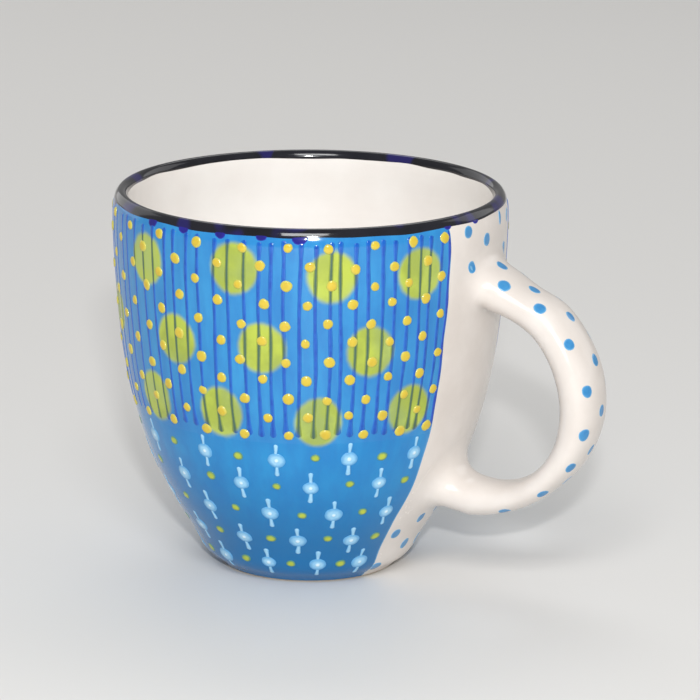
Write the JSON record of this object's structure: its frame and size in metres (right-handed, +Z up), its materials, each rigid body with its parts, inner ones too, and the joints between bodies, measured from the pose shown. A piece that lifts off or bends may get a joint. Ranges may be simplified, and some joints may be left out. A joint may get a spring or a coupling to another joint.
{
  "type": "stoneware mug",
  "caption": "Rounded stoneware mug with a strap handle, a dark rim band, a blue glazed panel and raised dot and stripe decoration.",
  "frame": {"origin": "centre of the foot ring, on the surface that the mug stands on", "axes": "+Z up along the cup's axis, +X from the cup's axis through the middle of the handle"},
  "size_m": [0.1279, 0.0982, 0.0955],
  "materials": {
    "clay": "matt fired stoneware",
    "bare_clay": "unglazed, ground foot",
    "white_glaze": "glossy",
    "blue_glaze": "glossy",
    "dark_glaze": "glossy"
  },
  "bodies": {
    "root": {"cup_wall": "clay", "foot_ring": "bare_clay", "handle": "white_glaze", "upper_handle_slip": "clay", "lower_handle_slip": "clay", "white_panel_glaze": "white_glaze", "upper_blue_glaze": "blue_glaze", "lower_blue_glaze": "blue_glaze", "inner_glaze": "white_glaze", "base_glaze": "white_glaze", "rim_band": "dark_glaze"}
  },
  "joints": []
}
